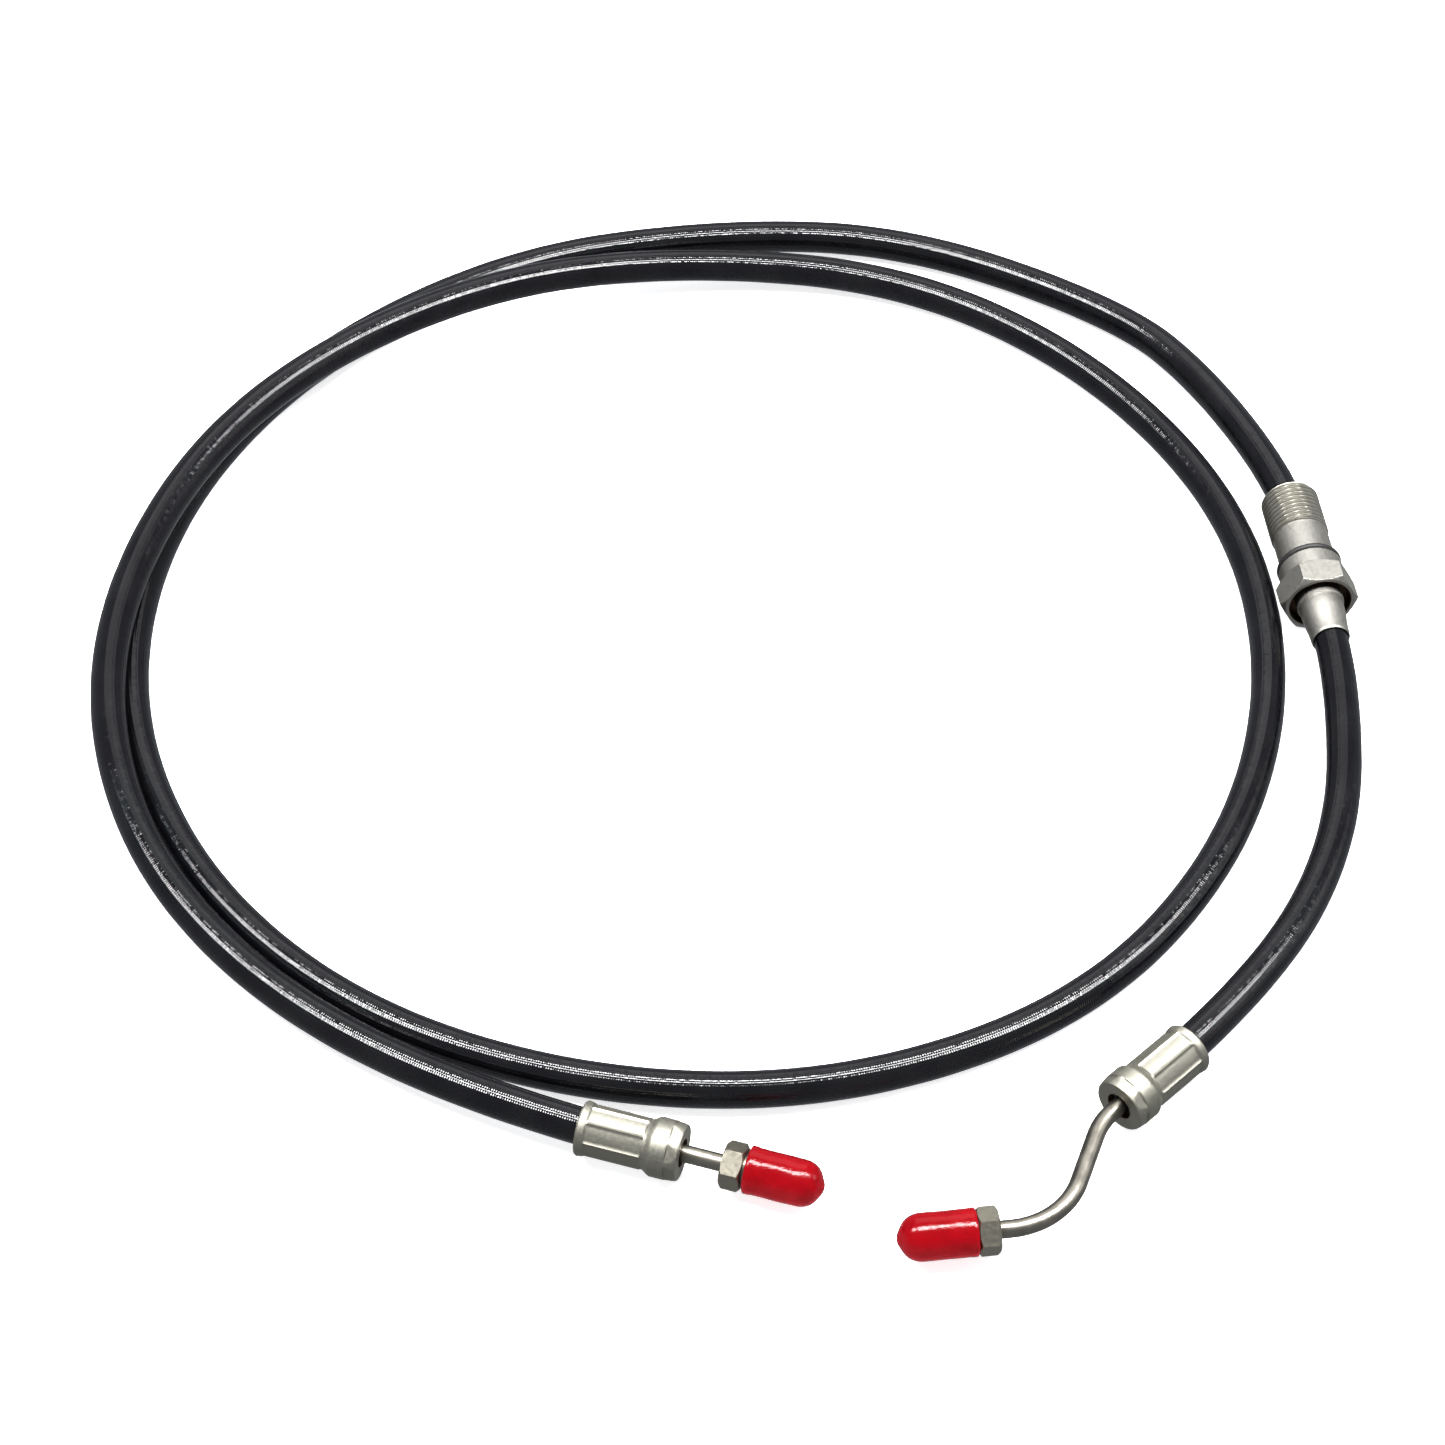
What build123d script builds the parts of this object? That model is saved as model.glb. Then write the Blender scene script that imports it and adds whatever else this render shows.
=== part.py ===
from build123d import *
import math
import os

# Hydraulic hose assembly: a thermoplastic hose lying in loose turns, a crimped
# ferrule with a steel tube and tube nut at each end (one tube straight, one
# bent), a red pull-off cap on each nut, and a bulkhead fitting along the hose.
# Millimetres, +Z up. The origin is the middle of the fittings' base, on the
# surface that the assembly lies on.

# ---- driving dimensions ----------------------------------------------------

HOSE_R = 6.35            # outside of the cover
BRAID_R = 5.3
CORE_R = 4.5
HOSE_BORE_R = 3.2
HOSE_IN_FERRULE = 26.0   # length of hose inside each ferrule

FERRULE_LEN = 35.0
FERRULE_AXIS_Z = 10.1    # the ferrules' bulges rest on the surface
COLLAR_R = 5.4           # stem collar that the ferrule is locked on
RECESS_R = 4.7           # hole around the tube in the ferrule's end
COLLAR_END = 32.4
STEM_BORE_R = 1.5
SOCKET_START = 28.0      # where the tube is brazed into the stem

TUBE_R = 3.0
TUBE_BORE_R = 2.1
FLARE_R = 4.3
FLARE_LEN = 1.6

NUT_HEX = 14.3           # across flats
NUT_HEX_LEN = 7.0
NUT_NECK_LEN = 1.2
NUT_LEN = 20.0
NUT_BORE_R = 3.08
NUT_THREAD_R = 6.0
NUT_PITCH = 1.5

CAP_R = 7.9
CAP_BORE_R = 6.08
CAP_LEN = 26.2
STRAIGHT_CAP_GAP = 1.1   # from the nut's hexagon to the cap's mouth
BENT_CAP_GAP = 0.2

STRAIGHT_TUBE_OUT = 14.1   # tube between the straight ferrule and its nut
FIRST_BEND_AT = 9.0        # from the bent ferrule's end to the first corner
SECOND_BEND_AT = 43.0      # from the first corner to the second
NUT_AFTER_BEND = 21.4      # from the second corner to the nut
FIRST_BEND_RADIUS = 25.0
SECOND_BEND_RADIUS = 28.0

STRAIGHT_NUT_TURN = 30.0   # how far each nut is turned from a flat on top
BENT_NUT_TURN = 17.0

BULKHEAD_LEN = 73.5
BULKHEAD_THREAD_R = 10.9   # M22 x 2
BULKHEAD_PITCH = 2.0
BULKHEAD_THREAD_LEN = 20.5
LAND_R = 10.4
LAND_END = 34.5
GROOVE_END = 37.1
COLLAR_OUT_R = 12.0
HEX_START = 44.4
HEX_END = 55.0
BULKHEAD_HEX = 26.0        # across flats
MOUTH_R = 9.2              # room for the hose to bend at the threaded end
MOUTH_LEN = 14.9
SWIVEL_BORE_R = 7.68
SLEEVE_R = 7.6
SLEEVE_START = 12.4
RETAINER_AT = 13.5
POCKET_R = 11.4
POCKET_START = 51.0
SHOULDER_R = 8.8
SHOULDER_END = 56.5
BULKHEAD_AXIS_Z = BULKHEAD_HEX / 2

# ---- where the fittings lie: a point on the axis and the axis's heading ----

STRAIGHT_LIP = Vector(-141, -120, FERRULE_AXIS_Z)
STRAIGHT_HEADING = -17.0
BENT_LIP = Vector(62, -87, FERRULE_AXIS_Z)
BENT_HEADING = 224.0
FIRST_BEND_HEADING = 250.3
SECOND_BEND_HEADING = 186.5
BULKHEAD_START = Vector(120.9, 171, BULKHEAD_AXIS_Z)
BULKHEAD_HEADING = -83.5


def heading_vector(degrees):
    """Level unit vector at an angle from +X."""
    angle = math.radians(degrees)
    return Vector(math.cos(angle), math.sin(angle), 0)


def placed(shape, start, heading):
    """Move a shape made along +X so that it starts at a point and faces a heading."""
    return Location((start.X, start.Y, start.Z), (0, 0, heading)) * shape


def turned(outline):
    """Revolve a closed outline of (distance along axis, radius) points about X."""
    face = make_face(Polyline(*[(x, r, 0) for x, r in outline], close=True))
    return revolve(face, Axis.X)


def ring(start, end, outer, inner):
    return turned([(start, inner), (end, inner), (end, outer), (start, outer)])


def hex_bar(start, end, across_flats, corner_chamfer):
    """Hexagonal length of bar along X, a flat on top, its corners turned down at both ends."""
    corner = across_flats / math.sqrt(3)
    section = Plane.YZ * RegularPolygon(corner, 6, rotation=0)
    bar = Pos(start, 0, 0) * extrude(section, end - start)
    turned_blank = turned([
        (start, 0),
        (start, across_flats / 2 - 0.2),
        (start + corner_chamfer, corner),
        (end - corner_chamfer, corner),
        (end, across_flats / 2 - 0.2),
        (end, 0),
    ])
    return bar & turned_blank


def thread_crests(start, end, crest_r, pitch):
    """Outline points of a V thread drawn as rings, from start to end."""
    depth = 0.55 * pitch
    count = int((end - start) / pitch)
    points = [(start, crest_r - depth)]
    for i in range(count):
        x = start + i * pitch
        points.append((x + 0.35 * pitch, crest_r))
        points.append((x + 0.60 * pitch, crest_r))
        points.append((x + 0.95 * pitch, crest_r - depth))
    return points


# ---- the hose --------------------------------------------------------------

STRAIGHT_HOSE_END = STRAIGHT_LIP + heading_vector(STRAIGHT_HEADING) * HOSE_IN_FERRULE
BENT_HOSE_END = BENT_LIP + heading_vector(BENT_HEADING) * HOSE_IN_FERRULE
BULKHEAD_DIRECTION = heading_vector(BULKHEAD_HEADING)
BEFORE_BULKHEAD = BULKHEAD_START - BULKHEAD_DIRECTION * 7.7
IN_BULKHEAD = BULKHEAD_START + BULKHEAD_DIRECTION * 42 + Vector(0.15, 0, 0)
AFTER_BULKHEAD = BULKHEAD_START + BULKHEAD_DIRECTION * 94
LYING = HOSE_R

# The first turn climbs onto the second on the left and comes down at the back.
# Its point inside the bulkhead is a hair off the line, so the hose is straight there.
HOSE_ROUTE = [
    STRAIGHT_HOSE_END,
    STRAIGHT_LIP - heading_vector(STRAIGHT_HEADING) * 35,
    Vector(-251, -64, 10.5),
    Vector(-302, 0, 14),
    Vector(-322, 82, 19),
    Vector(-304, 168, 22.5),
    Vector(-260, 236, 22.5),
    Vector(-187, 288, 20),
    Vector(-108, 313, 9.5),
    Vector(-20, 305, LYING),
    Vector(52, 254, LYING),
    Vector(100, 175, LYING),
    Vector(110, 88, LYING),
    Vector(88, 3, LYING),
    Vector(31, -66, LYING),
    Vector(-52, -102.3, LYING),
    Vector(-140, -101.3, LYING),
    Vector(-222, -69.5, LYING),
    Vector(-283, -8, LYING),
    Vector(-315, 76, LYING),
    Vector(-308, 170, LYING),
    Vector(-262, 254, LYING),
    Vector(-182, 315, LYING),
    Vector(-95, 333, LYING),
    Vector(-18, 328, LYING),
    Vector(66, 282, LYING),
    Vector(96, 240, 9),
    BEFORE_BULKHEAD,
    IN_BULKHEAD,
    AFTER_BULKHEAD,
    Vector(126, 6, 8),
    BENT_LIP - heading_vector(BENT_HEADING) * 36,
    BENT_HOSE_END,
]


def bend_radii(route):
    """Largest arc at each corner: 0.45 of the shorter run over the tangent of half the turn."""
    radii = []
    for before, corner, after in zip(route, route[1:], route[2:]):
        run_in = corner - before
        run_out = after - corner
        half_turn = math.radians(run_in.get_angle(run_out)) / 2
        radii.append(0.45 * min(run_in.length, run_out.length) / math.tan(half_turn))
    return radii


def layer(path, outer, inner):
    """One layer of the hose's wall, swept along its path."""
    plane = Plane(path @ 0, z_dir=path % 0)
    return sweep(plane * (Circle(outer) - Circle(inner)), path)


def make_hose():
    radii = bend_radii(HOSE_ROUTE)
    print("bend radii:", [round(r) for r in radii])
    path = FilletPolyline(*HOSE_ROUTE, radius=radii)
    print("hose length:", round(path.length, 1))
    walls = {
        "hose_cover": (HOSE_R, BRAID_R),
        "hose_braid": (BRAID_R, CORE_R),
        "hose_core": (CORE_R, HOSE_BORE_R),
    }
    parts = {}
    for name, (outer, inner) in walls.items():
        solid = layer(path, outer, inner)
        expected = math.pi * (outer ** 2 - inner ** 2) * path.length
        print(name, "volume over section x length:", round(solid.volume / expected, 4))
        parts[name] = solid
    return parts


# ---- the crimped ends, made along +X from the ferrule's lip ----------------

def make_ferrule():
    """Shell with a flared lip, eight crimp flats, a bulge and a recessed end."""
    shell = turned([
        (0.0, HOSE_R),
        (0.0, 9.0),
        (0.7, 9.3),
        (1.6, 9.2),
        (3.6, 8.75),
        (22.5, 8.45),
        (26.2, 10.1),
        (31.0, 10.1),
        (33.2, 9.75),
        (FERRULE_LEN, 9.35),
        (FERRULE_LEN, RECESS_R),
        (COLLAR_END, RECESS_R),
        (COLLAR_END, COLLAR_R),
        (HOSE_IN_FERRULE, COLLAR_R),
        (HOSE_IN_FERRULE, HOSE_R),
    ])
    body_flat = Pos(12.9, 0, 8.15 + 2) * Box(18.6, 6.0, 4)
    end_flat = Pos(34.0, 0, 9.45 + 2) * Box(5.6, 5.0, 4)
    for i in range(8):
        turn = Rot(45 * i, 0, 0)
        shell -= turn * body_flat
        shell -= turn * end_flat
    return shell


def make_stem():
    """Barbed insert inside the hose, with the collar that the ferrule locks on."""
    outline = [(2.0, STEM_BORE_R), (2.0, 2.8)]
    barbs = 5
    pitch = (HOSE_IN_FERRULE - 3.0) / barbs
    for i in range(barbs):
        x = 2.5 + i * pitch
        outline.append((x, 2.8))
        outline.append((x + 0.8 * pitch, HOSE_BORE_R - 0.03))
        outline.append((x + 0.85 * pitch, 2.8))
    outline += [
        (HOSE_IN_FERRULE + 0.1, 2.8),
        (HOSE_IN_FERRULE + 0.1, COLLAR_R - 0.03),
        (28.6, COLLAR_R - 0.03),
        (28.6, 4.9),
        (29.8, 4.9),
        (29.8, COLLAR_R - 0.03),
        (COLLAR_END - 0.1, COLLAR_R - 0.03),
        (COLLAR_END - 0.1, TUBE_R + 0.02),
        (SOCKET_START, TUBE_R + 0.02),
        (SOCKET_START, STEM_BORE_R),
    ]
    return turned(outline)


def flared_tube(path, flare_at, flare_heading):
    """Steel tube along a path, with the bubble flare that its nut pulls on."""
    plane = Plane(path @ 0, z_dir=path % 0)
    outside = sweep(plane * Circle(TUBE_R), path)
    bore = sweep(plane * Circle(TUBE_BORE_R), path)
    rise = FLARE_R - TUBE_R
    flare = turned([
        (-rise, 0),
        (-rise, TUBE_R),
        (0, FLARE_R),
        (FLARE_LEN - 0.6, FLARE_R),
        (FLARE_LEN, FLARE_R - 0.6),
        (FLARE_LEN, 0),
    ])
    flare -= Cylinder(TUBE_BORE_R, 20, rotation=(0, 90, 0))
    return (outside - bore) + placed(flare, flare_at, flare_heading)


def make_nut():
    """Male tube nut: chamfered hexagon, neck, thread, and the seat for the flare."""
    hexagon = hex_bar(0, NUT_HEX_LEN, NUT_HEX, 0.9)
    shank = turned(
        [(NUT_HEX_LEN - 1, 0), (NUT_HEX_LEN - 1, 5.1)]
        + thread_crests(NUT_HEX_LEN + NUT_NECK_LEN, NUT_LEN, NUT_THREAD_R, NUT_PITCH)
        + [(NUT_LEN, 5.1), (NUT_LEN, 0)]
    )
    hole = turned([
        (-1, 0),
        (-1, NUT_BORE_R),
        (NUT_LEN - 1, NUT_BORE_R),
        (NUT_LEN + 1, NUT_BORE_R + 2),
        (NUT_LEN + 1, 0),
    ])
    return hexagon + shank - hole


def make_cap():
    """Soft cap: thin tube with a rolled mouth, a domed end and a small drip point."""
    with BuildPart() as cap:
        with BuildSketch(Plane.XY):
            with BuildLine():
                wall = Polyline(
                    (CAP_LEN - 2.6, 0),
                    (CAP_LEN - 2.6, 3.0),
                    (CAP_LEN - 5.2, CAP_BORE_R),
                    (0, CAP_BORE_R),
                    (0, CAP_R + 0.15),
                    (1.4, CAP_R + 0.15),
                    (3.0, CAP_R),
                    (CAP_LEN - 8.2, CAP_R),
                )
                dome = ThreePointArc(
                    wall @ 1, (CAP_LEN - 3.4, 5.9), (CAP_LEN - 1.5, 3.0)
                )
                point = Polyline(dome @ 1, (CAP_LEN - 0.4, 1.6), (CAP_LEN, 0))
                Line(point @ 1, wall @ 0)
            make_face()
        revolve(axis=Axis.X)
    return cap.part


def straight_tube_path(lip, heading):
    start = lip + heading_vector(heading) * (SOCKET_START + 0.1)
    nut_at = lip + heading_vector(heading) * (FERRULE_LEN + STRAIGHT_TUBE_OUT)
    flare_at = nut_at + heading_vector(heading) * (NUT_LEN + 0.5)
    return Line(start, flare_at), nut_at, flare_at


def bent_tube_path(lip, heading):
    start = lip + heading_vector(heading) * (SOCKET_START + 0.1)
    first = lip + heading_vector(heading) * (FERRULE_LEN + FIRST_BEND_AT)
    second = first + heading_vector(FIRST_BEND_HEADING) * SECOND_BEND_AT
    nut_at = second + heading_vector(SECOND_BEND_HEADING) * NUT_AFTER_BEND
    flare_at = nut_at + heading_vector(SECOND_BEND_HEADING) * (NUT_LEN + 0.5)
    path = FilletPolyline(
        start, first, second, flare_at, radius=[FIRST_BEND_RADIUS, SECOND_BEND_RADIUS]
    )
    return path, nut_at, flare_at


def make_end(name, lip, heading, tube_path, nut_heading, nut_turn, cap_gap):
    """The crimped pieces of one hose end, its tube, nut and cap, placed."""
    path, nut_at, flare_at = tube_path(lip, heading)
    cap_at = nut_at + heading_vector(nut_heading) * (NUT_HEX_LEN + cap_gap)
    nut = Rot(nut_turn, 0, 0) * make_nut()
    print(name, "nut at", nut_at)
    return {
        name + "_ferrule": placed(make_ferrule(), lip, heading),
        name + "_stem": placed(make_stem(), lip, heading),
        name + "_tube": flared_tube(path, flare_at, nut_heading),
        name + "_nut": placed(nut, nut_at, nut_heading),
        name + "_cap": placed(make_cap(), cap_at, nut_heading),
    }


# ---- the bulkhead fitting, made along +X from its threaded end -------------

def make_bulkhead_body():
    """Threaded body with a smooth land, seal groove, collar and hexagon."""
    outside = turned(
        [(0, 0), (0, LAND_R - 0.4)]
        + thread_crests(0.4, BULKHEAD_THREAD_LEN, BULKHEAD_THREAD_R, BULKHEAD_PITCH)
        + [
            (BULKHEAD_THREAD_LEN, LAND_R),
            (LAND_END, LAND_R),
            (LAND_END, 9.6),
            (GROOVE_END, 9.6),
            (GROOVE_END, COLLAR_OUT_R),
            (HEX_START + 1, COLLAR_OUT_R),
            (HEX_START + 1, 0),
        ]
    )
    hexagon = hex_bar(HEX_START, HEX_END, BULKHEAD_HEX, 1.4)
    hole = turned([
        (-1, 0),
        (-1, MOUTH_R),
        (MOUTH_LEN, MOUTH_R),
        (MOUTH_LEN, SWIVEL_BORE_R),
        (26.0, SWIVEL_BORE_R),
        (26.0, 8.95),
        (27.6, 8.95),
        (27.6, SWIVEL_BORE_R),
        (POCKET_START, SWIVEL_BORE_R),
        (POCKET_START, POCKET_R),
        (HEX_END + 1, POCKET_R),
        (HEX_END + 1, 0),
    ])
    return outside + hexagon - hole


def make_bulkhead_sleeve():
    """Sleeve crimped on the hose: the body swivels on it, against its shoulder."""
    return turned([
        (SLEEVE_START, HOSE_R),
        (SLEEVE_START, SLEEVE_R),
        (RETAINER_AT, SLEEVE_R),
        (RETAINER_AT, 7.1),
        (RETAINER_AT + 1.1, 7.1),
        (RETAINER_AT + 1.1, SLEEVE_R),
        (POCKET_START + 0.3, SLEEVE_R),
        (POCKET_START + 0.3, SHOULDER_R),
        (SHOULDER_END - 0.3, SHOULDER_R),
        (SHOULDER_END, SHOULDER_R - 0.3),
        (SHOULDER_END, 8.25),
        (BULKHEAD_LEN - 0.4, 7.15),
        (BULKHEAD_LEN, 6.9),
        (BULKHEAD_LEN, HOSE_R),
    ])


def make_retaining_ring():
    """Open circlip in the sleeve's groove."""
    closed = ring(RETAINER_AT + 0.05, RETAINER_AT + 1.05, 8.6, 7.12)
    gap = Pos(RETAINER_AT, 0, -8.0) * Box(4, 2.4, 4)
    return closed - gap


def make_bulkhead():
    o_ring = Rot(0, 90, 0) * Torus(10.95, 1.25)
    inner_seal = Rot(0, 90, 0) * Torus(8.28, 0.64)
    pieces = {
        "bulkhead_body": make_bulkhead_body(),
        "bulkhead_o_ring": Pos((LAND_END + GROOVE_END) / 2, 0, 0) * o_ring,
        "bulkhead_inner_seal": Pos(26.8, 0, 0) * inner_seal,
        "bulkhead_sleeve": make_bulkhead_sleeve(),
        "bulkhead_retaining_ring": make_retaining_ring(),
    }
    return {
        name: placed(piece, BULKHEAD_START, BULKHEAD_HEADING)
        for name, piece in pieces.items()
    }


def make_assembly():
    parts = make_hose()
    parts |= make_end(
        "straight", STRAIGHT_LIP, STRAIGHT_HEADING, straight_tube_path,
        STRAIGHT_HEADING, STRAIGHT_NUT_TURN, STRAIGHT_CAP_GAP,
    )
    parts |= make_end(
        "bent", BENT_LIP, BENT_HEADING, bent_tube_path,
        SECOND_BEND_HEADING, BENT_NUT_TURN, BENT_CAP_GAP,
    )
    parts |= make_bulkhead()
    return parts


os.makedirs("parts", exist_ok=True)
for node, part in make_assembly().items():
    export_step(part, f"parts/{node}.step")
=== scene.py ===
import bpy
import math
from mathutils import Matrix, Vector


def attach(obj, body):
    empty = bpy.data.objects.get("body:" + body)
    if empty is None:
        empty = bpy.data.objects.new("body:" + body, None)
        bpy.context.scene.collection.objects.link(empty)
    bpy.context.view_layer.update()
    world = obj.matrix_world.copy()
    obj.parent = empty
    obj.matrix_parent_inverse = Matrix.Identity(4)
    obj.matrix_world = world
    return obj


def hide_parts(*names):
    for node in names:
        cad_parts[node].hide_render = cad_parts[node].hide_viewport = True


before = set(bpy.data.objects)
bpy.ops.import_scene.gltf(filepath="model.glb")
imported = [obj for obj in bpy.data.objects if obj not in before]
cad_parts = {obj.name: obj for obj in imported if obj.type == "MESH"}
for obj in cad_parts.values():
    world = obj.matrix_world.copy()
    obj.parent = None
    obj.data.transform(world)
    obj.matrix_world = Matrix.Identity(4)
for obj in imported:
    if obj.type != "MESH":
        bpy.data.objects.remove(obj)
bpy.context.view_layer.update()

# Hydraulic hose assembly: how it looks. Every piece is built in the packed
# model's frame. Lengths are written in millimetres and scaled by MM when a piece is
# placed or the hose's line is made. The camera, the lights and the bump are in metres.

MM = 0.001

# ---- faces round each kind of piece ----------------------------------------

HOSE_STEPS = 32
HOSE_RING_GAP = 1.2        # distance between the rings of the hose's mesh
FITTING_STEPS = 144
NUT_STEPS = 120
O_RING_STEPS = 120
SLEEVE_STEPS = 96
CAP_STEPS = 72

# ---- dimensions, the same as the CAD's -------------------------------------

HOSE_R = 6.35

FERRULE_LEN = 35.0
FERRULE_AXIS_Z = 10.1
DIE_RADIUS = 8.2           # ferrule's body after crimping
FIN_HEIGHT = 0.42          # metal squeezed up between two crimping dies
FIN_WIDTH = 0.42

NUT_HEX = 14.3
NUT_HEX_LEN = 7.0
NUT_NECK_LEN = 1.2
NUT_LEN = 20.0
NUT_BORE_R = 3.08
NUT_THREAD_START = NUT_HEX_LEN + NUT_NECK_LEN
NUT_THREAD_R = 6.0
NUT_PITCH = 1.5

CAP_R = 7.9
CAP_BORE_R = 6.08
CAP_LEN = 26.2
STRAIGHT_CAP_GAP = 1.1
BENT_CAP_GAP = 0.2

BULKHEAD_LEN = 73.5
BULKHEAD_THREAD_R = 10.9
BULKHEAD_THREAD_END = 20.5
BULKHEAD_PITCH = 2.0
LAND_R = 10.4
LAND_END = 34.5
GROOVE_END = 37.1
COLLAR_R = 12.0
HEX_START = 44.4
HEX_END = 55.0
BULKHEAD_HEX = 26.0
MOUTH_R = 9.2
MOUTH_LEN = 14.9
SWIVEL_BORE_R = 7.68
SEAL_GROOVE_START = 26.0
SEAL_GROOVE_END = 27.6
SEAL_GROOVE_R = 8.95
O_RING_AT = 35.8
O_RING_MIDDLE_R = 10.95
O_RING_SECTION_R = 1.25
SLEEVE_R = 7.6
SLEEVE_START = 12.4
POCKET_R = 11.4
POCKET_START = 51.0
SHOULDER_R = 8.8
SHOULDER_END = 56.5

# ---- where the fittings lie ------------------------------------------------

STRAIGHT_LIP = Vector((-141, -120, FERRULE_AXIS_Z))
STRAIGHT_HEADING = -17.0
STRAIGHT_NUT = Vector((-94.05, -134.36, FERRULE_AXIS_Z))
STRAIGHT_NUT_TURN = 30.0
BENT_LIP = Vector((62, -87, FERRULE_AXIS_Z))
BENT_HEADING = 224.0
BENT_NUT = Vector((-5.41, -160.47, FERRULE_AXIS_Z))
BENT_NUT_HEADING = 186.5
BENT_NUT_TURN = 17.0
BULKHEAD_START = Vector((120.9, 171, BULKHEAD_HEX / 2))
BULKHEAD_HEADING = -83.5


def heading_vector(degrees):
    """Level unit vector at an angle from +X."""
    angle = math.radians(degrees)
    return Vector((math.cos(angle), math.sin(angle), 0))


# ---- camera ----------------------------------------------------------------

def make_camera():
    """Long lens in front of the coil, looking down 48 degrees below level."""
    camera = bpy.data.objects.new("camera", bpy.data.cameras.new("camera"))
    bpy.context.scene.collection.objects.link(camera)
    camera.location = (-0.0945, -0.8591, 1.0306)
    camera.rotation_euler = (math.radians(42), 0, 0)
    camera.data.lens = 94.67
    camera.data.sensor_width = 36
    camera.data.clip_start = 0.05
    camera.data.clip_end = 20
    bpy.context.scene.camera = camera


# ---- the hose's line -------------------------------------------------------

BULKHEAD_DIRECTION = heading_vector(BULKHEAD_HEADING)
LYING = HOSE_R

# The CAD's route, listed point by point. Six points between the ends are moved by up to 2 mm, so that
# the visible hose lies nearer to the real one: two at the back, four on the right.
HOSE_ROUTE = [
    STRAIGHT_LIP + heading_vector(STRAIGHT_HEADING) * 26,
    STRAIGHT_LIP - heading_vector(STRAIGHT_HEADING) * 35,
    (-251, -64, 10.5),
    (-302, 0, 14),
    (-322, 82, 19),
    (-304, 168, 22.5),
    (-260, 236, 22.5),
    (-187, 288, 20),
    (-108, 313, 9.5),
    (-20, 305, LYING),
    (52, 254, LYING),
    (100.5, 175.3, LYING),
    (110, 88, LYING),
    (86.5, 3.5, LYING),
    (31.6, -66.3, LYING),
    (-52, -102.3, LYING),
    (-140, -101.3, LYING),
    (-222, -69.5, LYING),
    (-283, -8, LYING),
    (-315, 76, LYING),
    (-308, 170, LYING),
    (-262, 254, LYING),
    (-182, 315, LYING),
    (-95, 333, LYING),
    (-17, 328.5, LYING),
    (66.5, 283, LYING),
    (96, 240, 9),
    BULKHEAD_START - BULKHEAD_DIRECTION * 7.7,
    BULKHEAD_START + BULKHEAD_DIRECTION * 42 + Vector((0.15, 0, 0)),
    BULKHEAD_START + BULKHEAD_DIRECTION * 94,
    (124.7, 5.8, 8),
    BENT_LIP - heading_vector(BENT_HEADING) * 36,
    BENT_LIP + heading_vector(BENT_HEADING) * 26,
]


def hose_line():
    """Points in metres along the smooth NURBS line through the hose's route."""
    curve = bpy.data.curves.new("hose_line", "CURVE")
    curve.dimensions = "3D"
    curve.resolution_u = 24
    spline = curve.splines.new("NURBS")
    spline.points.add(len(HOSE_ROUTE) - 1)
    for point, place in zip(spline.points, HOSE_ROUTE):
        point.co = (*(Vector(place) * MM), 1)
    spline.order_u = 3
    spline.use_endpoint_u = True
    holder = bpy.data.objects.new("hose_line", curve)
    mesh = bpy.data.meshes.new_from_object(holder)
    points = [vertex.co.copy() for vertex in mesh.vertices]
    bpy.data.meshes.remove(mesh)
    bpy.data.objects.remove(holder)
    return points


def evenly_spaced(points, gap):
    """The line again, its points an even distance apart."""
    along = [0.0]
    for a, b in zip(points, points[1:]):
        along.append(along[-1] + (b - a).length)
    count = round(along[-1] / gap)
    spaced = []
    i = 0
    for k in range(count + 1):
        at = along[-1] * k / count
        while i < len(points) - 2 and along[i + 1] < at:
            i += 1
        share = (at - along[i]) / (along[i + 1] - along[i])
        spaced.append(points[i].lerp(points[i + 1], share))
    return spaced


# ---- mesh helpers ----------------------------------------------------------

def placed(start, heading, turn=0.0):
    """Matrix from a piece's own millimetres, its axis along +X, to its place."""
    move = Matrix.Translation(start * MM)
    face = Matrix.Rotation(math.radians(heading), 4, "Z")
    roll = Matrix.Rotation(math.radians(turn), 4, "X")
    return move @ face @ roll @ Matrix.Scale(MM, 4)


def new_piece(name, vertices, faces, wraps, material, sharp=35.0):
    """Mesh object with a "wrap" UV map: (distance along, share of a turn) per face corner."""
    mesh = bpy.data.meshes.new(name)
    mesh.from_pydata(vertices, [], faces)
    layer = mesh.uv_layers.new(name="wrap")
    layer.data.foreach_set("uv", [number for wrap in wraps for number in wrap])
    mesh.polygons.foreach_set("use_smooth", [True] * len(faces))
    mesh.set_sharp_from_angle(angle=math.radians(sharp))
    mesh.materials.append(material)
    piece = bpy.data.objects.new(name, mesh)
    bpy.context.scene.collection.objects.link(piece)
    return piece


def skin(rings, along, closed):
    """Faces between rings of points, and each corner's wrap."""
    steps = len(rings[0])
    vertices = [point for ring in rings for point in ring]
    faces = []
    wraps = []
    last = len(rings) if closed else len(rings) - 1
    for i in range(last):
        j = (i + 1) % len(rings)
        for k in range(steps):
            m = (k + 1) % steps
            faces.append((i * steps + k, i * steps + m, j * steps + m, j * steps + k))
            here, there = k / steps, (k + 1) / steps
            wraps += [(along[i], here), (along[i], there), (along[j], there), (along[j], here)]
    return vertices, faces, wraps


def cover_faces(piece, material, first, last, steps):
    """Gives another material to the faces between two rings of a lathe piece."""
    piece.data.materials.append(material)
    for polygon in piece.data.polygons[first * steps:last * steps]:
        polygon.material_index = len(piece.data.materials) - 1


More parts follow.
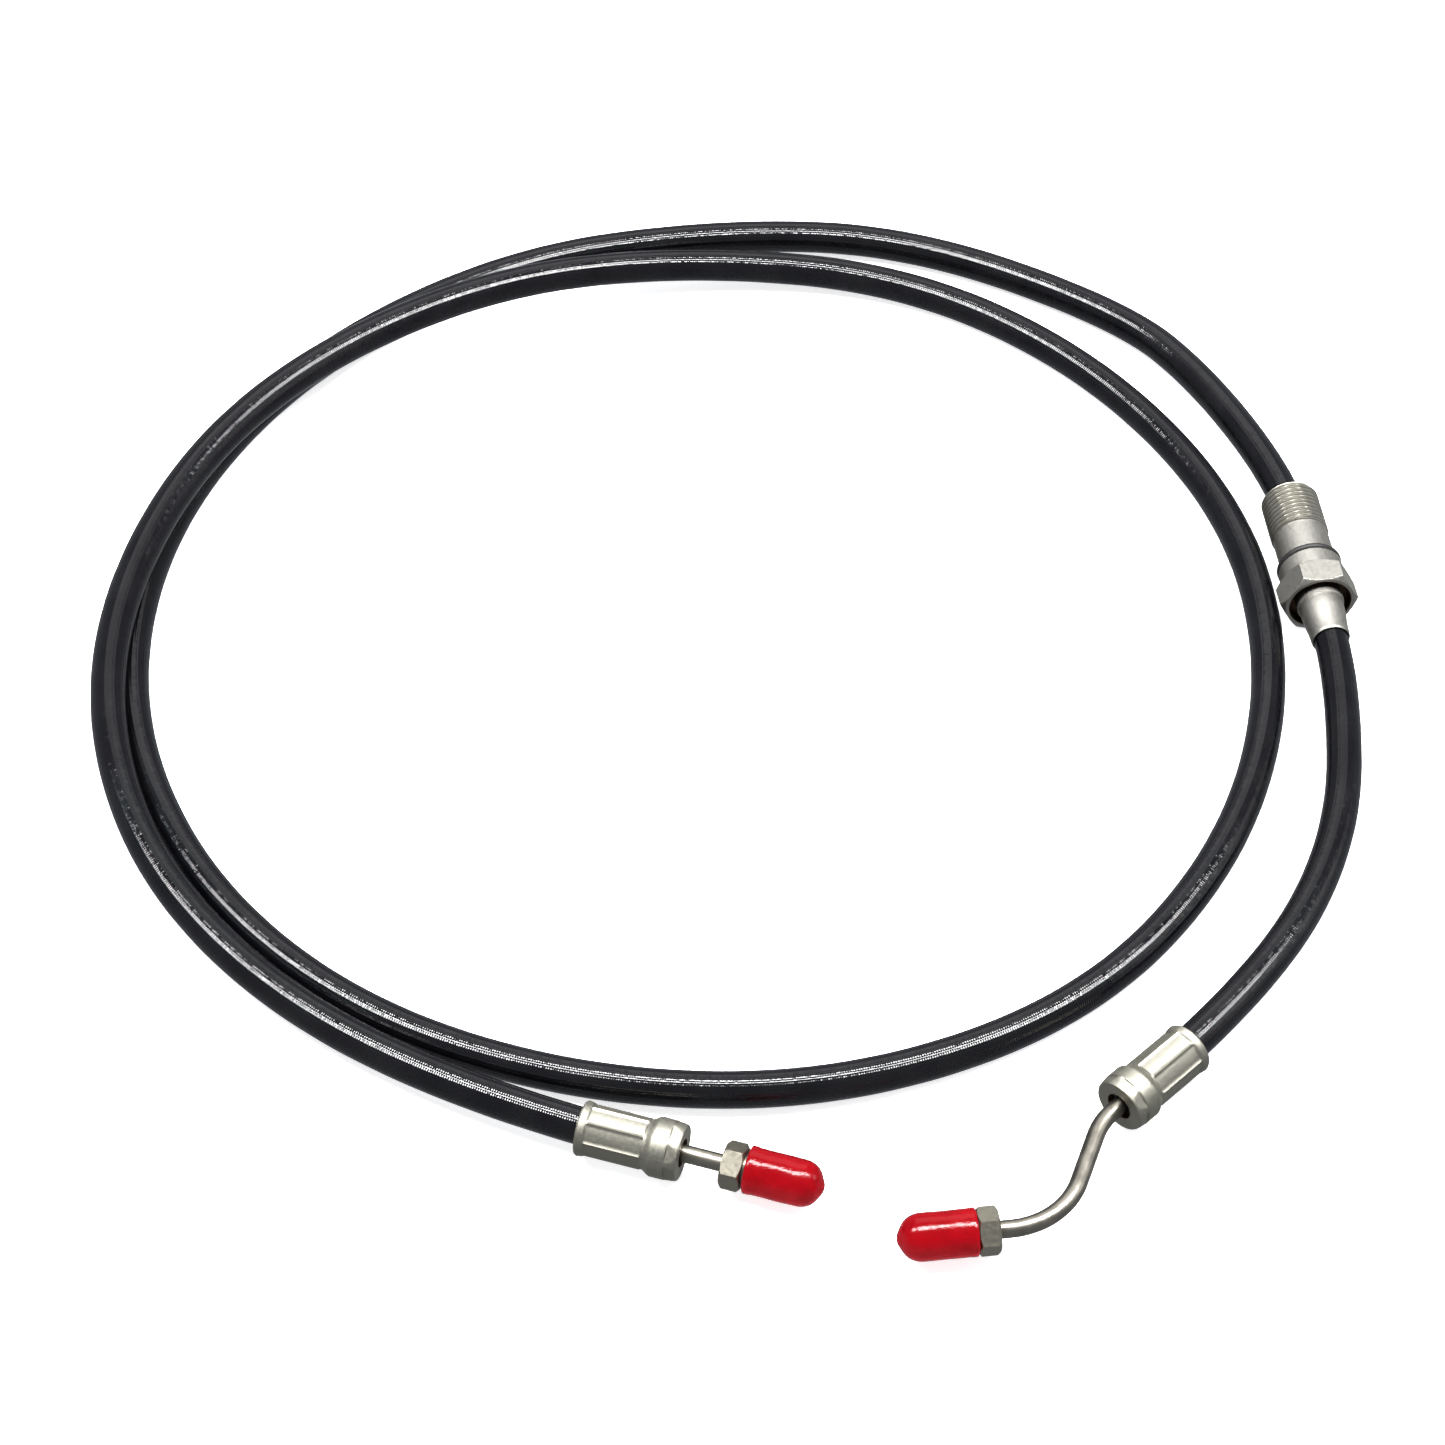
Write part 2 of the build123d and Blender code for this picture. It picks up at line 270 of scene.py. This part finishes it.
def lathe(name, outline, place, material, steps=96, shape=None, sharp=35.0):
    """Piece turned about its X axis from a closed outline of (x, radius) points.

    shape(x, radius, angle) may change the radius, for flats and threads.
    """
    rings = []
    for x, radius in outline:
        ring = []
        for k in range(steps):
            angle = 2 * math.pi * k / steps
            r = shape(x, radius, angle) if shape else radius
            ring.append(place @ Vector((x, r * math.cos(angle), r * math.sin(angle))))
        rings.append(ring)
    vertices, faces, wraps = skin(rings, [x for x, radius in outline], closed=True)
    return new_piece(name, vertices, faces, wraps, material, sharp)


def eased(points, gap):
    """The outline with points a gap apart, each run a smooth S between its ends."""
    fine = []
    for (x0, r0), (x1, r1) in zip(points, points[1:]):
        count = max(1, round(abs(x1 - x0) / gap))
        for k in range(count):
            share = k / count
            smooth = share * share * (3 - 2 * share)
            fine.append((x0 + (x1 - x0) * share, r0 + (r1 - r0) * smooth))
    return fine + [points[-1]]


def straight_run(x0, x1, radius, gap):
    """Points along a run of one radius, a gap apart."""
    count = max(1, round(abs(x1 - x0) / gap))
    return [(x0 + (x1 - x0) * k / count, radius) for k in range(count + 1)]


def ramp(x, start, end):
    """0 before start and 1 after end, smooth between."""
    share = min(1.0, max(0.0, (x - start) / (end - start)))
    return share * share * (3 - 2 * share)


def hexagon_radius(angle, across_flats):
    """Distance from the axis to a hexagon's side; a flat faces +Z at angle 90 degrees."""
    from_middle = (angle % (math.pi / 3)) - math.pi / 6
    return across_flats / 2 / math.cos(from_middle)


def threaded(x, angle, crest_r, pitch, start, end):
    """Radius of a V thread on a true helix, fading in and out at its ends."""
    phase = (x / pitch - angle / (2 * math.pi)) % 1.0
    height = min(1.0, max(0.0, 1.35 * abs(2 * phase - 1) - 0.12))
    depth = 0.55 * pitch * ramp(end - x, 0.0, 1.2)
    lead_in = 1.1 * (1 - ramp(x, start, start + 1.4))
    return crest_r - depth * (1 - height) - lead_in * height


# ---- material helpers ------------------------------------------------------

class Nodes:
    """Small wrapper that adds nodes to a new material and links them."""

    def __init__(self, name):
        self.material = bpy.data.materials.new(name)
        self.material.use_nodes = True
        self.tree = self.material.node_tree
        self.shader = self.tree.nodes["Principled BSDF"]

    def add(self, kind, settings=(), **inputs):
        node = self.tree.nodes.new(kind)
        for key, value in dict(settings).items():
            setattr(node, key, value)
        for key, value in inputs.items():
            self.put(node.inputs[key.replace("_", " ")], value)
        return node

    def put(self, socket, value):
        """Sets a socket, or links an output socket to it."""
        if isinstance(value, bpy.types.NodeSocket):
            self.tree.links.new(value, socket)
        else:
            socket.default_value = value

    def math(self, operation, a, b=0.0):
        node = self.tree.nodes.new("ShaderNodeMath")
        node.operation = operation
        self.put(node.inputs[0], a)
        self.put(node.inputs[1], b)
        return node.outputs[0]

    def noise(self, vector, scale, detail=3.0):
        node = self.add("ShaderNodeTexNoise", Vector=vector, Scale=scale, Detail=detail)
        return node.outputs["Fac"]

    def stretched(self, vector, scale):
        """The coordinates multiplied by a scale per axis."""
        node = self.add("ShaderNodeVectorMath", {"operation": "MULTIPLY"})
        self.put(node.inputs[0], vector)
        self.put(node.inputs[1], scale)
        return node.outputs[0]

    def spread(self, value, low, high):
        """A value from about 0.3 to 0.7, such as noise, spread from low to high."""
        node = self.add("ShaderNodeMapRange", Value=value)
        node.inputs["From Min"].default_value = 0.3
        node.inputs["From Max"].default_value = 0.7
        node.inputs["To Min"].default_value = low
        node.inputs["To Max"].default_value = high
        return node.outputs["Result"]

    def colours(self, value, stops):
        """A colour ramp; stops are (position, (r, g, b))."""
        node = self.add("ShaderNodeValToRGB", Fac=value)
        ramp_stops = node.color_ramp.elements
        while len(ramp_stops) < len(stops):
            ramp_stops.new(0.5)
        for stop, (position, colour) in zip(ramp_stops, stops):
            stop.position = position
            stop.color = (*colour, 1)
        return node.outputs["Color"]

    def bumped(self, height, distance, strength=1.0):
        node = self.add("ShaderNodeBump", Height=height, Distance=distance, Strength=strength)
        self.put(self.shader.inputs["Normal"], node.outputs["Normal"])

    def look(self, **inputs):
        for key, value in inputs.items():
            self.put(self.shader.inputs[key.replace("_", " ")], value)

    def wrap(self):
        return self.add("ShaderNodeUVMap", {"uv_map": "wrap"}).outputs["UV"]

    def place(self):
        return self.add("ShaderNodeTexCoord").outputs["Object"]


# ---- materials -------------------------------------------------------------

BRAID_PITCH = 1.7      # millimetres along the hose between the strands' crossings
BRAID_STARTS = 16      # strands each way round


def cover_material():
    """Glossy black cover drawn tight over the braid, so its strands show as fine ribs."""
    n = Nodes("hose_cover")
    wrap = n.wrap()
    parts = n.add("ShaderNodeSeparateXYZ", Vector=wrap)
    along = n.math("MULTIPLY", parts.outputs["X"], 2 * math.pi / BRAID_PITCH)
    around = n.math("MULTIPLY", parts.outputs["Y"], 2 * math.pi * BRAID_STARTS)
    right = n.math("SINE", n.math("ADD", along, around))
    left = n.math("SINE", n.math("SUBTRACT", along, around))
    strands = n.math("MULTIPLY", right, left)
    uneven = n.noise(n.stretched(wrap, (0.8, 14, 1)), 1.0)
    strength = n.spread(uneven, 0.25, 1.4)
    height = n.math("MULTIPLY", strands, strength)
    smudges = n.noise(n.place(), 60.0, 4.0)
    colour = n.colours(smudges, [(0.3, (0.002, 0.002, 0.003)), (0.75, (0.005, 0.005, 0.006))])
    n.look(Base_Color=colour, Roughness=n.spread(smudges, 0.10, 0.16))
    n.shader.inputs["Specular IOR Level"].default_value = 0.5
    n.bumped(height, 0.000042)
    return n.material


def steel_material(name, colour, roughness, marks, depth):
    """Stainless steel, its machining or crimping marks stretched by (along, round)."""
    n = Nodes(name)
    wrap = n.wrap()
    lines = n.noise(n.stretched(wrap, (*marks, 1)), 1.0, 2.0)
    clouds = n.noise(n.place(), 900.0, 4.0)
    grain = n.noise(n.place(), 2400.0, 2.0)
    dark = tuple(0.92 * c for c in colour)
    n.look(Base_Color=n.colours(clouds, [(0.32, dark), (0.68, colour)]))
    n.look(Metallic=1.0, Roughness=n.spread(clouds, roughness - 0.05, roughness + 0.07))
    n.bumped(n.math("ADD", n.math("MULTIPLY", grain, 0.35), lines), depth)
    return n.material


def thread_material(name, colour, pitch):
    """Cut steel thread, duller towards its roots, which follow the helix; the roots are painted darker
    as shade.
    """
    n = Nodes(name)
    parts = n.add("ShaderNodeSeparateXYZ", Vector=n.wrap())
    turns = n.math("SUBTRACT", n.math("DIVIDE", parts.outputs["X"], pitch), parts.outputs["Y"])
    round_root = n.math("SUBTRACT", n.math("MULTIPLY", n.math("FRACT", turns), 2.0), 1.0)
    from_root = n.math("ABSOLUTE", round_root)
    # Painted shade: the roots' colour is 0.22 of the crest's.
    root = tuple(0.22 * c for c in colour)
    n.look(Base_Color=n.colours(from_root, [(0.12, root), (0.62, colour)]))
    n.look(Metallic=1.0, Roughness=n.spread(from_root, 0.50, 0.40))
    n.bumped(n.noise(n.place(), 2400.0, 2.0), 0.000010)
    return n.material


def scratched_steel_material(name, colour, roughness):
    """Steel with fine scratches and a cloudy finish: tubes and inner pieces; in a dark brown colour it
    paints the shade in recesses.
    """
    n = Nodes(name)
    clouds = n.noise(n.place(), 180.0, 4.0)
    scratches = n.noise(n.stretched(n.place(), (900, 900, 5000)), 1.0, 2.0)
    dark = tuple(0.78 * c for c in colour)
    n.look(Base_Color=n.colours(clouds, [(0.32, dark), (0.68, colour)]))
    n.look(Metallic=1.0, Roughness=n.spread(clouds, roughness - 0.05, roughness + 0.06))
    n.bumped(scratches, 0.000012)
    return n.material


def vinyl_material():
    """Soft red vinyl, dipped: glossy, a little translucent, with fine pimples."""
    n = Nodes("red_vinyl")
    pimples = n.noise(n.place(), 900.0, 2.0)
    waves = n.noise(n.place(), 140.0, 3.0)
    n.look(Base_Color=n.colours(waves, [(0.3, (0.15, 0.0002, 0.003)), (0.7, (0.19, 0.0005, 0.004))]))
    n.look(Roughness=n.spread(waves, 0.12, 0.20))
    n.shader.inputs["Specular IOR Level"].default_value = 0.30
    n.shader.inputs["Subsurface Weight"].default_value = 0.12
    n.shader.inputs["Subsurface Radius"].default_value = (1.0, 0.1, 0.05)
    n.shader.inputs["Subsurface Scale"].default_value = 0.0015
    n.bumped(n.math("ADD", n.math("MULTIPLY", pimples, 0.8), waves), 0.00010)
    return n.material


def rubber_material(name, colour, roughness):
    """Moulded rubber with a faint grain."""
    n = Nodes(name)
    grain = n.noise(n.place(), 1500.0, 3.0)
    lighter = tuple(1.8 * c for c in colour)
    n.look(Base_Color=n.colours(grain, [(0.3, colour), (0.7, lighter)]))
    n.look(Roughness=n.spread(grain, roughness - 0.06, roughness + 0.08))
    n.bumped(grain, 0.00003)
    return n.material


def floor_material():
    """Pale, dull floor that also glows, which keeps the shadows on it light."""
    n = Nodes("floor")
    speckle = n.noise(n.place(), 35.0, 2.0)
    n.look(Base_Color=n.colours(speckle, [(0.3, (0.93, 0.93, 0.93)), (0.7, (0.95, 0.95, 0.95))]))
    n.look(Roughness=0.9)
    n.shader.inputs["Specular IOR Level"].default_value = 0.15
    n.shader.inputs["Emission Color"].default_value = (1, 1, 1, 1)
    n.shader.inputs["Emission Strength"].default_value = 0.62
    return n.material


COVER = cover_material()
CRIMPED_STEEL = steel_material("crimped_steel", (0.33, 0.32, 0.275), 0.50, (2.6, 3), 0.00006)
TURNED_STEEL = steel_material("turned_steel", (0.36, 0.35, 0.32), 0.47, (9, 2), 0.000009)
# Both thread materials paint shade into the thread roots.
THREAD_STEEL = thread_material("thread_steel", (0.45, 0.435, 0.385), BULKHEAD_PITCH)
NUT_STEEL = steel_material("nut_steel", (0.33, 0.31, 0.255), 0.38, (3, 20), 0.000008)
NUT_THREAD_STEEL = thread_material("nut_thread_steel", (0.36, 0.34, 0.29), NUT_PITCH)
TUBE_STEEL = scratched_steel_material("tube_steel", (0.29, 0.272, 0.235), 0.33)
STEM_STEEL = scratched_steel_material("stem_steel", (0.55, 0.54, 0.52), 0.35)
SPRING_STEEL = scratched_steel_material("spring_steel", (0.30, 0.30, 0.32), 0.32)
# Dark brown steel painted into the ferrule's hole and the bulkhead's pocket: painted shade.
RECESS_PAINTED_SHADE = scratched_steel_material("recess_painted_shade", (0.11, 0.075, 0.05), 0.50)
VINYL = vinyl_material()
O_RING_RUBBER = rubber_material("o_ring_rubber", (0.010, 0.009, 0.009), 0.52)
SEAL_RUBBER = rubber_material("seal_rubber", (0.030, 0.030, 0.028), 0.45)


# ---- the hose --------------------------------------------------------------

def make_hose():
    """Mesh tube along the hose's line; its rings stand square to the line."""
    line = evenly_spaced(hose_line(), HOSE_RING_GAP * MM)
    rings = []
    along = []
    for i, middle in enumerate(line):
        ahead = line[min(i + 1, len(line) - 1)] - line[max(i - 1, 0)]
        side = ahead.cross(Vector((0, 0, 1))).normalized()
        up = side.cross(ahead).normalized()
        swell = 1 + 0.004 * math.sin(0.31 * i) * math.sin(0.047 * i)
        ring = []
        for k in range(HOSE_STEPS):
            angle = 2 * math.pi * k / HOSE_STEPS
            ring.append(middle + (up * math.cos(angle) - side * math.sin(angle)) * HOSE_R * MM * swell)
        rings.append(ring)
        along.append(i * HOSE_RING_GAP)
    vertices, faces, wraps = skin(rings, along, closed=False)
    faces.append(tuple(reversed(range(HOSE_STEPS))))
    faces.append(tuple(range(len(vertices) - HOSE_STEPS, len(vertices))))
    wraps += [(0, k / HOSE_STEPS) for k in range(HOSE_STEPS)] * 2
    hose = new_piece("hose", vertices, faces, wraps, COVER)
    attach(hose, "hose")
    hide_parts("hose_cover", "hose_braid", "hose_core")
    return hose, line


# ---- the crimped ends ------------------------------------------------------

def crimped(x, radius, angle):
    """Ferrule's radius after crimping: eight die faces with fins between, and end marks."""
    if radius < 8.0:
        return radius
    from_middle = ((angle + math.pi / 8) % (math.pi / 4)) - math.pi / 8
    from_fin = (math.pi / 8 - abs(from_middle)) * radius
    flat = 1 / math.cos(from_middle)
    die = DIE_RADIUS + 0.45 * DIE_RADIUS * (flat - 1)
    die += FIN_HEIGHT * math.exp(-((from_fin / FIN_WIDTH) ** 2))
    pressed = ramp(x, 2.6, 3.6) * (1 - ramp(x, 22.3, 22.9))
    radius += pressed * (die - radius)
    end_pressed = ramp(x, 30.9, 31.3)
    return radius + end_pressed * (min(radius, 9.5 * flat) - radius)


def make_ferrule(name, lip, heading):
    """Crimped shell with a flared lip, a bulge and a hole for the tube, its inside painted dark brown
    as shade.
    """
    outline = eased(
        [(1.8, 6.4), (0.0, 7.7), (0.0, 9.0), (0.6, 9.35), (1.6, 9.2), (3.6, 8.75), (22.6, 8.5),
         (26.2, 10.1), (31.0, 10.1), (33.2, 9.8), (34.6, 9.55), (FERRULE_LEN, 9.3)],
        0.25,
    )
    rim = len(outline)
    outline += [(FERRULE_LEN, 4.9), (34.7, 4.7), (32.4, 4.7), (32.4, 5.4), (26.0, 5.4), (26.0, 6.4)]
    place = placed(lip, heading)
    ferrule = lathe(name, outline, place, CRIMPED_STEEL, steps=FITTING_STEPS, shape=crimped)
    # The hole's inner faces get painted shade.
    cover_faces(ferrule, RECESS_PAINTED_SHADE, rim, rim + 3, FITTING_STEPS)
    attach(ferrule, "hose")
    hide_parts(name.replace("_shell", ""))
    return ferrule


def nut_shape(x, radius, angle):
    """Chamfered hexagon, then the thread."""
    if x <= NUT_HEX_LEN and radius > 6.5:
        hexagon = hexagon_radius(angle, NUT_HEX)
        near_end = min(x, NUT_HEX_LEN - x)
        return min(hexagon - 0.06, NUT_HEX / 2 - 0.15 + 1.45 * near_end)
    if x > NUT_THREAD_START and radius > 5.5:
        return threaded(x, angle, NUT_THREAD_R, NUT_PITCH, NUT_THREAD_START, NUT_LEN + 2)
    return radius


def make_nut(name, body, start, heading, turn):
    """Tube nut: hexagon, neck and thread, with a bore for the tube."""
    outline = [(0, NUT_BORE_R + 0.25), (0, NUT_HEX / 2 - 0.4)]
    outline += straight_run(0, NUT_HEX_LEN, NUT_HEX / 2, 0.12)
    outline += [(NUT_HEX_LEN, 6.4), (NUT_HEX_LEN + 0.15, 5.1), (NUT_THREAD_START, 5.1)]
    thread_first = len(outline)
    outline += straight_run(NUT_THREAD_START + 0.05, NUT_LEN - 0.05, NUT_THREAD_R, 0.15)
    thread_last = len(outline) - 1
    outline += [(NUT_LEN, 5.1), (NUT_LEN, NUT_BORE_R + 1), (NUT_LEN - 1, NUT_BORE_R)]
    outline += [(0.25, NUT_BORE_R)]
    place = placed(start, heading, turn)
    nut = lathe(name, outline, place, NUT_STEEL, steps=NUT_STEPS, shape=nut_shape, sharp=25)
    cover_faces(nut, NUT_THREAD_STEEL, thread_first, thread_last, NUT_STEPS)
    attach(nut, body)
    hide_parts(body)
    return nut


def vinyl_wobble(x, radius, angle):
    """A dipped cap isn't quite round or straight."""
    if radius < CAP_BORE_R + 0.1 and x < CAP_LEN - 4:
        return radius
    wave = math.sin(0.55 * x + 2 * angle) + 0.7 * math.sin(3 * angle - 0.3 * x)
    return radius * (1 + 0.005 * wave)


def make_cap(name, body, nut_start, heading, gap):
    """Hollow dipped cap with a rolled mouth, a domed end and a small drip point."""
    outline = [(CAP_LEN - 2.6, 0.0), (CAP_LEN - 2.6, 3.0), (CAP_LEN - 5.2, CAP_BORE_R)]
    outline += straight_run(CAP_LEN - 6, 0.4, CAP_BORE_R, 2.0)
    outline += [(0.0, CAP_BORE_R + 0.3), (0.0, CAP_R - 0.25), (0.35, CAP_R + 0.15)]
    outline += eased([(1.3, CAP_R + 0.18), (3.2, CAP_R)], 0.4)
    outline += straight_run(4.0, CAP_LEN - 8.6, CAP_R, 0.8)
    for k in range(15):
        angle = math.radians(64) * k / 14
        outline.append((CAP_LEN - 8.2 + 6.9 * math.sin(angle), 2.2 + 5.7 * math.cos(angle)))
    outline += [(CAP_LEN - 1.3, 3.5), (CAP_LEN - 0.7, 2.4), (CAP_LEN - 0.3, 1.6), (CAP_LEN, 0.0)]
    start = nut_start + heading_vector(heading) * (NUT_HEX_LEN + gap)
    place = placed(start, heading)
    cap = lathe(name, outline, place, VINYL, steps=CAP_STEPS, shape=vinyl_wobble, sharp=60)
    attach(cap, body)
    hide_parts(body)
    return cap


# ---- the bulkhead fitting --------------------------------------------------

def bulkhead_shape(x, radius, angle):
    """Thread at the far end and the chamfered hexagon at the near one."""
    if radius == BULKHEAD_THREAD_R:
        return threaded(x, angle, BULKHEAD_THREAD_R, BULKHEAD_PITCH, 0.0, BULKHEAD_THREAD_END + 0.6)
    if radius == BULKHEAD_HEX / 2:
        hexagon = hexagon_radius(angle, BULKHEAD_HEX)
        cone = BULKHEAD_HEX / 2 - 0.1 + 1.3 * min(x - HEX_START, HEX_END - x)
        return min(hexagon - 0.1, cone)
    return radius


def make_bulkhead_body():
    """Threaded body with a land, seal groove, collar and hexagon, and a pocket painted dark brown as
    shade.
    """
    outline = [(0.0, MOUTH_R + 0.3), (0.0, 9.4)]
    thread_first = len(outline)
    outline += straight_run(0.05, BULKHEAD_THREAD_END, BULKHEAD_THREAD_R, 0.125)
    thread_last = len(outline) - 1
    outline += [(BULKHEAD_THREAD_END + 0.3, LAND_R), (27.0, LAND_R), (LAND_END - 0.2, LAND_R)]
    outline += [(LAND_END, LAND_R - 0.2), (LAND_END, 9.6), (GROOVE_END, 9.6)]
    outline += [(GROOVE_END, COLLAR_R - 0.5), (GROOVE_END + 0.5, COLLAR_R), (HEX_START - 0.5, COLLAR_R)]
    outline += [(HEX_START, COLLAR_R - 0.4)]
    outline += straight_run(HEX_START, HEX_END, BULKHEAD_HEX / 2, 0.15)
    outline += [(HEX_END, POCKET_R + 0.3)]
    rim = len(outline)
    outline += [(HEX_END - 0.3, POCKET_R), (POCKET_START, POCKET_R)]
    outline += [(POCKET_START, SWIVEL_BORE_R), (SEAL_GROOVE_END, SWIVEL_BORE_R)]
    outline += [(SEAL_GROOVE_END, SEAL_GROOVE_R), (SEAL_GROOVE_START, SEAL_GROOVE_R)]
    outline += [(SEAL_GROOVE_START, SWIVEL_BORE_R), (MOUTH_LEN, SWIVEL_BORE_R)]
    outline += [(MOUTH_LEN, MOUTH_R), (0.4, MOUTH_R)]
    place = placed(BULKHEAD_START, BULKHEAD_HEADING)
    body = lathe(
        "bulkhead_body_turned", outline, place, TURNED_STEEL,
        steps=FITTING_STEPS, shape=bulkhead_shape, sharp=28,
    )
    # The pocket's faces get painted shade.
    cover_faces(body, RECESS_PAINTED_SHADE, rim - 1, rim + 2, FITTING_STEPS)
    cover_faces(body, THREAD_STEEL, thread_first, thread_last, FITTING_STEPS)
    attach(body, "bulkhead")
    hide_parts("bulkhead_body")
    return body


def make_o_ring():
    """O-ring with the faint flash line of its mould."""
    outline = []
    for k in range(24):
        angle = 2 * math.pi * k / 24
        thick = O_RING_SECTION_R + (0.04 if k in (6, 18) else 0.0)
        outline.append((O_RING_AT + thick * math.cos(angle), O_RING_MIDDLE_R + thick * math.sin(angle)))
    place = placed(BULKHEAD_START, BULKHEAD_HEADING)
    o_ring = lathe("bulkhead_o_ring_moulded", outline, place, O_RING_RUBBER, steps=O_RING_STEPS)
    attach(o_ring, "bulkhead")
    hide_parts("bulkhead_o_ring")
    return o_ring


def make_sleeve():
    """Crimp sleeve: shoulder ring, then a slight taper that grips the hose."""
    outline = [(SLEEVE_START, HOSE_R), (SLEEVE_START, SLEEVE_R), (POCKET_START + 0.3, SLEEVE_R)]
    outline += [(POCKET_START + 0.3, SHOULDER_R), (SHOULDER_END - 0.5, SHOULDER_R)]
    outline += [(SHOULDER_END, SHOULDER_R - 0.4), (SHOULDER_END, 8.3)]
    outline += eased([(SHOULDER_END + 0.4, 8.25), (BULKHEAD_LEN - 0.8, 7.2)], 0.7)
    outline += [(BULKHEAD_LEN - 0.3, 7.1), (BULKHEAD_LEN, 6.85), (BULKHEAD_LEN, HOSE_R + 0.3)]
    outline += [(BULKHEAD_LEN - 0.9, HOSE_R)]
    place = placed(BULKHEAD_START, BULKHEAD_HEADING)
    sleeve = lathe("bulkhead_sleeve_turned", outline, place, TURNED_STEEL, steps=SLEEVE_STEPS)
    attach(sleeve, "hose")
    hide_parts("bulkhead_sleeve")
    return sleeve


def dress_cad_nodes():
    """Better materials for the pieces whose CAD shape stays."""
    finishes = {
        "straight_tube": TUBE_STEEL,
        "bent_tube": TUBE_STEEL,
        "straight_stem": STEM_STEEL,
        "bent_stem": STEM_STEEL,
        "bulkhead_retaining_ring": SPRING_STEEL,
        "bulkhead_inner_seal": SEAL_RUBBER,
    }
    for name, material in finishes.items():
        for material_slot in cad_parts[name].material_slots:
            material_slot.material = material


# ---- studio ----------------------------------------------------------------

def make_floor():
    """Plain pale floor, just below the surface that the hose lies on."""
    half = 4.0
    mesh = bpy.data.meshes.new("floor")
    corners = [(-half, -half, 0), (half, -half, 0), (half, half, 0), (-half, half, 0)]
    mesh.from_pydata(corners, [], [(0, 1, 2, 3)])
    mesh.materials.append(floor_material())
    floor = bpy.data.objects.new("floor", mesh)
    floor.location.z = -0.0002
    floor.visible_glossy = False
    bpy.context.scene.collection.objects.link(floor)


def area_light(name, place, target, size, power):
    """White rectangular lamp, aimed at a target; size in metres, power in watts."""
    lamp = bpy.data.lights.new(name, "AREA")
    lamp.shape = "RECTANGLE"
    lamp.size, lamp.size_y = size
    lamp.energy = power
    light = bpy.data.objects.new(name, lamp)
    light.location = place
    light.rotation_euler = (Vector(target) - Vector(place)).to_track_quat("-Z", "Y").to_euler()
    bpy.context.scene.collection.objects.link(light)


def make_studio():
    """Soft pale surroundings, a long strip overhead and two weak fill panels."""
    world = bpy.data.worlds.new("studio")
    world.use_nodes = True
    world.node_tree.nodes["Background"].inputs["Color"].default_value = (0.92, 0.95, 1.0, 1)
    world.node_tree.nodes["Background"].inputs["Strength"].default_value = 0.36
    bpy.context.scene.world = world
    area_light("overhead_strip", (-0.1, 0.1, 1.9), (-0.1, 0.1, 0), (3.4, 0.40), 150)
    area_light("back_panel", (-0.1, 2.1, 1.9), (-0.1, 0.1, 0), (2.2, 1.6), 11)
    area_light("right_box", (2.0, 0.2, 0.9), (-0.1, 0.05, 0), (0.7, 0.9), 4)
    bpy.context.scene.view_settings.view_transform = "Standard"
    bpy.context.scene.view_settings.look = "Medium High Contrast"


# ---- putting it together ---------------------------------------------------

make_camera()
hose, hose_path = make_hose()
fittings = [
    make_ferrule("straight_ferrule_shell", STRAIGHT_LIP, STRAIGHT_HEADING),
    make_ferrule("bent_ferrule_shell", BENT_LIP, BENT_HEADING),
    make_nut("straight_nut_turned", "straight_nut", STRAIGHT_NUT, STRAIGHT_HEADING, STRAIGHT_NUT_TURN),
    make_nut("bent_nut_turned", "bent_nut", BENT_NUT, BENT_NUT_HEADING, BENT_NUT_TURN),
    make_cap("straight_cap_dipped", "straight_cap", STRAIGHT_NUT, STRAIGHT_HEADING, STRAIGHT_CAP_GAP),
    make_cap("bent_cap_dipped", "bent_cap", BENT_NUT, BENT_NUT_HEADING, BENT_CAP_GAP),
    make_bulkhead_body(),
    make_o_ring(),
    make_sleeve(),
    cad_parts["straight_tube"],
    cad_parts["bent_tube"],
]
dress_cad_nodes()
make_floor()
make_studio()
